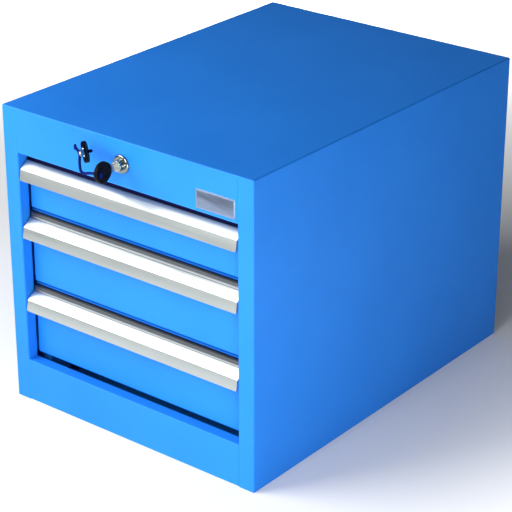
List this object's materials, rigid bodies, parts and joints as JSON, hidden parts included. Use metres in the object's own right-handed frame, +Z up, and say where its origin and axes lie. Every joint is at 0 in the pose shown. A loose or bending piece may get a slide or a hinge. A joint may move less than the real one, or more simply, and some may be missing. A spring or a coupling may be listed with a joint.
{
  "type": "drawer tool cabinet",
  "caption": "Low folded-sheet tool cabinet with drawers on telescopic slides, full-width handle rails and a key lock that holds all the drawers.",
  "frame": {"origin": "on the floor under the middle of the cabinet body, on the bottom panel's outer face", "axes": "+Z up, -Y towards the user (the drawers open along -Y), +X to the right seen from the front"},
  "size_m": [0.44, 0.6676, 0.4536],
  "materials": {
    "blue_paint": "satin powder coat, bright blue",
    "grey_paint": "satin powder coat, light grey",
    "handle_aluminium": "satin anodised extrusion",
    "zinc_steel": "bright zinc plate",
    "ball_steel": "polished balls in a bare steel strip",
    "lock_chrome": "polished chrome",
    "key_nickel": "satin nickel plate",
    "black_plastic": "moulded, fine grain",
    "navy_plastic": "moulded strap",
    "plate_aluminium": "fine brushed sheet, bare"
  },
  "bodies": {
    "cabinet": {"side_panel_left": "blue_paint", "side_panel_right": "blue_paint", "top_panel": "blue_paint", "bottom_panel": "blue_paint", "back_panel": "blue_paint", "front_top_rail": "blue_paint", "front_bottom_rail": "blue_paint", "upright_left_front": "blue_paint", "upright_left_rear": "blue_paint", "upright_right_front": "blue_paint", "upright_right_rear": "blue_paint", "name_plate": "plate_aluminium", "lock_housing": "lock_chrome", "lock_nut": "zinc_steel", "shaft_bracket": "zinc_steel", "lock_bar_guides": "zinc_steel", "rail_screws": "zinc_steel", "drawer_1_cabinet_rail_left": "zinc_steel", "drawer_1_cabinet_rail_right": "zinc_steel", "drawer_2_cabinet_rail_left": "zinc_steel", "drawer_2_cabinet_rail_right": "zinc_steel", "drawer_3_cabinet_rail_left": "zinc_steel", "drawer_3_cabinet_rail_right": "zinc_steel"},
    "drawer_1": {"drawer_1_box": "grey_paint", "drawer_1_front": "blue_paint", "drawer_1_handle": "handle_aluminium", "drawer_1_catch": "zinc_steel", "drawer_1_drawer_rail_left": "zinc_steel", "drawer_1_drawer_rail_right": "zinc_steel"},
    "drawer_1_middle_rails": {"drawer_1_middle_rails": "zinc_steel"},
    "drawer_1_outer_ball_cages": {"drawer_1_outer_ball_cages": "ball_steel"},
    "drawer_1_inner_ball_cages": {"drawer_1_inner_ball_cages": "ball_steel"},
    "drawer_2": {"drawer_2_box": "grey_paint", "drawer_2_front": "blue_paint", "drawer_2_handle": "handle_aluminium", "drawer_2_catch": "zinc_steel", "drawer_2_drawer_rail_left": "zinc_steel", "drawer_2_drawer_rail_right": "zinc_steel"},
    "drawer_2_middle_rails": {"drawer_2_middle_rails": "zinc_steel"},
    "drawer_2_outer_ball_cages": {"drawer_2_outer_ball_cages": "ball_steel"},
    "drawer_2_inner_ball_cages": {"drawer_2_inner_ball_cages": "ball_steel"},
    "drawer_3": {"drawer_3_box": "grey_paint", "drawer_3_front": "blue_paint", "drawer_3_handle": "handle_aluminium", "drawer_3_catch": "zinc_steel", "drawer_3_drawer_rail_left": "zinc_steel", "drawer_3_drawer_rail_right": "zinc_steel"},
    "drawer_3_middle_rails": {"drawer_3_middle_rails": "zinc_steel"},
    "drawer_3_outer_ball_cages": {"drawer_3_outer_ball_cages": "ball_steel"},
    "drawer_3_inner_ball_cages": {"drawer_3_inner_ball_cages": "ball_steel"},
    "lock": {"lock_plug": "lock_chrome", "key_blade": "key_nickel", "key_head": "black_plastic", "lock_shaft": "zinc_steel", "lock_cam": "zinc_steel"},
    "spare_key": {"key_tie": "navy_plastic", "spare_key_head": "black_plastic", "spare_key_blade": "key_nickel"},
    "lock_bar": {"lock_bar": "zinc_steel"}
  },
  "joints": [
    {"name": "drawer_1_slide", "type": "slide", "parent": "cabinet", "child": "drawer_1", "axis": [0, -1, 0], "range_m": [0, 0.45]},
    {"name": "drawer_1_middle_rails_slide", "type": "slide", "parent": "cabinet", "child": "drawer_1_middle_rails", "axis": [0, -1, 0], "range_m": [0, 0.225]},
    {"name": "drawer_1_outer_ball_cages_slide", "type": "slide", "parent": "cabinet", "child": "drawer_1_outer_ball_cages", "axis": [0, -1, 0], "range_m": [0, 0.1125]},
    {"name": "drawer_1_inner_ball_cages_slide", "type": "slide", "parent": "cabinet", "child": "drawer_1_inner_ball_cages", "axis": [0, -1, 0], "range_m": [0, 0.3375]},
    {"name": "drawer_2_slide", "type": "slide", "parent": "cabinet", "child": "drawer_2", "axis": [0, -1, 0], "range_m": [0, 0.45]},
    {"name": "drawer_2_middle_rails_slide", "type": "slide", "parent": "cabinet", "child": "drawer_2_middle_rails", "axis": [0, -1, 0], "range_m": [0, 0.225]},
    {"name": "drawer_2_outer_ball_cages_slide", "type": "slide", "parent": "cabinet", "child": "drawer_2_outer_ball_cages", "axis": [0, -1, 0], "range_m": [0, 0.1125]},
    {"name": "drawer_2_inner_ball_cages_slide", "type": "slide", "parent": "cabinet", "child": "drawer_2_inner_ball_cages", "axis": [0, -1, 0], "range_m": [0, 0.3375]},
    {"name": "drawer_3_slide", "type": "slide", "parent": "cabinet", "child": "drawer_3", "axis": [0, -1, 0], "range_m": [0, 0.45]},
    {"name": "drawer_3_middle_rails_slide", "type": "slide", "parent": "cabinet", "child": "drawer_3_middle_rails", "axis": [0, -1, 0], "range_m": [0, 0.225]},
    {"name": "drawer_3_outer_ball_cages_slide", "type": "slide", "parent": "cabinet", "child": "drawer_3_outer_ball_cages", "axis": [0, -1, 0], "range_m": [0, 0.1125]},
    {"name": "drawer_3_inner_ball_cages_slide", "type": "slide", "parent": "cabinet", "child": "drawer_3_inner_ball_cages", "axis": [0, -1, 0], "range_m": [0, 0.3375]},
    {"name": "key_turn", "type": "hinge", "parent": "cabinet", "child": "lock", "pos_m": [0, -0.3, 0.417], "axis": [0, 1, 0], "range_deg": [0, 90]},
    {"name": "lock_bar_lift", "type": "slide", "parent": "cabinet", "child": "lock_bar", "axis": [0, 0, 1], "range_m": [0, 0.008]},
    {"name": "spare_key_swing", "type": "hinge", "parent": "lock", "child": "spare_key", "pos_m": [0, -0.346, 0.417], "axis": [1, 0, 0], "range_deg": [0, 180]}
  ],
  "couplings": [
    {"joint": "drawer_1_middle_rails_slide", "follows": "drawer_1_slide", "ratio": 0.5},
    {"joint": "drawer_1_outer_ball_cages_slide", "follows": "drawer_1_slide", "ratio": 0.25},
    {"joint": "drawer_1_inner_ball_cages_slide", "follows": "drawer_1_slide", "ratio": 0.75},
    {"joint": "drawer_2_middle_rails_slide", "follows": "drawer_2_slide", "ratio": 0.5},
    {"joint": "drawer_2_outer_ball_cages_slide", "follows": "drawer_2_slide", "ratio": 0.25},
    {"joint": "drawer_2_inner_ball_cages_slide", "follows": "drawer_2_slide", "ratio": 0.75},
    {"joint": "drawer_3_middle_rails_slide", "follows": "drawer_3_slide", "ratio": 0.5},
    {"joint": "drawer_3_outer_ball_cages_slide", "follows": "drawer_3_slide", "ratio": 0.25},
    {"joint": "drawer_3_inner_ball_cages_slide", "follows": "drawer_3_slide", "ratio": 0.75},
    {"joint": "key_turn", "follows": "lock_bar_lift", "rad_per_m": 196.35}
  ]
}
